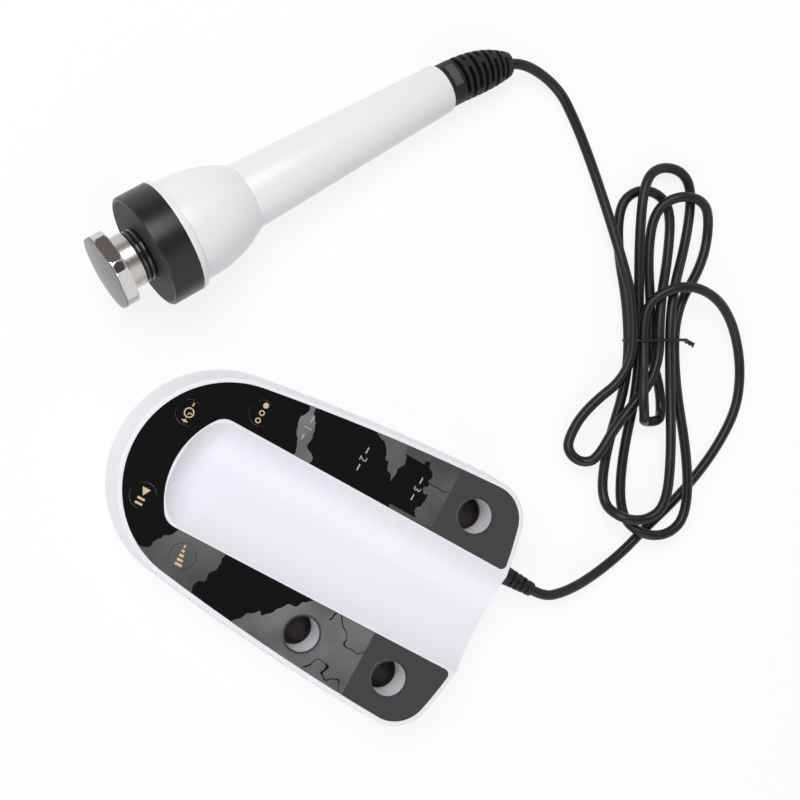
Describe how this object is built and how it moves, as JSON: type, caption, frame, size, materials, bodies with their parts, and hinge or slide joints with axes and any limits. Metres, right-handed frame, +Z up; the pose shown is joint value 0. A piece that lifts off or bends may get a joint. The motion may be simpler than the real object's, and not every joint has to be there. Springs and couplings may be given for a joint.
{
  "type": "radio frequency beauty machine",
  "caption": "Tabletop skin-care unit with a wedge-shaped base, open cradle, touch panel and probe sockets, and a flared corded handpiece that carries a screw-on metal probe.",
  "frame": {"origin": "middle of the underside of the box round base unit and handpiece, on the table they stand on", "axes": "+Z up; the base unit's round nose points to -Y and its cord leaves its tail towards +Y; the handpiece lies on the -X side"},
  "size_m": [0.3378, 0.3515, 0.0582],
  "materials": {
    "white_plastic": "gloss",
    "panel_black": "gloss",
    "key_black": "gloss",
    "lamp_lens": "translucent",
    "display_face": "gloss",
    "pad_felt": "matte",
    "black_plastic": "satin",
    "soft_black": "matte",
    "cord_black": "satin",
    "circuit_board": "satin",
    "screw_steel": "satin",
    "ferrite": "matte",
    "winding": "satin",
    "sink_aluminium": "satin",
    "can_aluminium": "satin",
    "ribbon_grey": "satin",
    "probe_polished": "polished",
    "probe_brushed": "brushed",
    "bushing_brass": "satin",
    "carrier_insulator": "matte",
    "lead_red": "satin"
  },
  "bodies": {
    "base": {"upper_shell": "white_plastic", "lower_shell": "white_plastic", "socket_cups": "white_plastic", "control_panel": "panel_black", "indicator_lamps": "lamp_lens", "display_module": "display_face", "socket_pads": "pad_felt", "power_inlet": "black_plastic", "tact_switches": "black_plastic", "driver_chips": "black_plastic", "base_boot": "soft_black", "rubber_feet": "soft_black", "handle_lead": "cord_black", "cord_hank": "cord_black", "base_lead": "cord_black", "twist_tie": "cord_black", "control_board": "circuit_board", "lamp_board": "circuit_board", "main_board": "circuit_board", "case_screws": "screw_steel", "control_board_screws": "screw_steel", "lamp_board_screws": "screw_steel", "main_board_screws": "screw_steel", "transformer_core": "ferrite", "transformer_bobbin": "winding", "heat_sink": "sink_aluminium", "capacitors": "can_aluminium", "ribbon_cable": "ribbon_grey"},
    "start_key": {"start_key": "key_black"},
    "timer_key": {"timer_key": "key_black"},
    "mode_key": {"mode_key": "key_black"},
    "level_key": {"level_key": "key_black"},
    "handpiece": {"bell_housing": "white_plastic", "barrel": "white_plastic", "collar": "black_plastic", "bushing_carrier": "carrier_insulator", "carrier_screws": "screw_steel", "probe_bushing": "bushing_brass", "output_lead": "lead_red", "cord_clamp": "black_plastic", "handle_boot": "soft_black"},
    "seal": {"seal_ring": "soft_black"},
    "probe": {"probe_head": "probe_polished", "probe_stem": "probe_brushed"}
  },
  "joints": [
    {"name": "start_key_press", "type": "slide", "parent": "base", "child": "start_key", "axis": [0, 0, -1], "range_m": [0, 0.0005], "stiffness_N_per_m": 1500, "springref_m": -0.0003},
    {"name": "timer_key_press", "type": "slide", "parent": "base", "child": "timer_key", "axis": [0, 0, -1], "range_m": [0, 0.0005], "stiffness_N_per_m": 1500, "springref_m": -0.0003},
    {"name": "mode_key_press", "type": "slide", "parent": "base", "child": "mode_key", "axis": [0, 0, -1], "range_m": [0, 0.0005], "stiffness_N_per_m": 1500, "springref_m": -0.0003},
    {"name": "level_key_press", "type": "slide", "parent": "base", "child": "level_key", "axis": [0, 0, -1], "range_m": [0, 0.0005], "stiffness_N_per_m": 1500, "springref_m": -0.0003},
    {"name": "handpiece_lift", "type": "slide", "parent": "base", "child": "handpiece", "axis": [0, 0, 1], "range_m": [0, 0.045], "deforming": ["handle_lead"]},
    {"name": "probe_travel", "type": "slide", "parent": "handpiece", "child": "seal", "axis": [0.8541, -0.51, 0.1017], "range_m": [0, 0.009]},
    {"name": "probe_turn", "type": "hinge", "parent": "seal", "child": "probe", "pos_m": [0.00529, -0.10881, 0.02866], "axis": [0.8541, -0.51, 0.1017], "range_deg": [0, 2160]}
  ],
  "couplings": [
    {"joint": "probe_turn", "follows": "probe_travel", "rad_per_m": 4188.8}
  ]
}
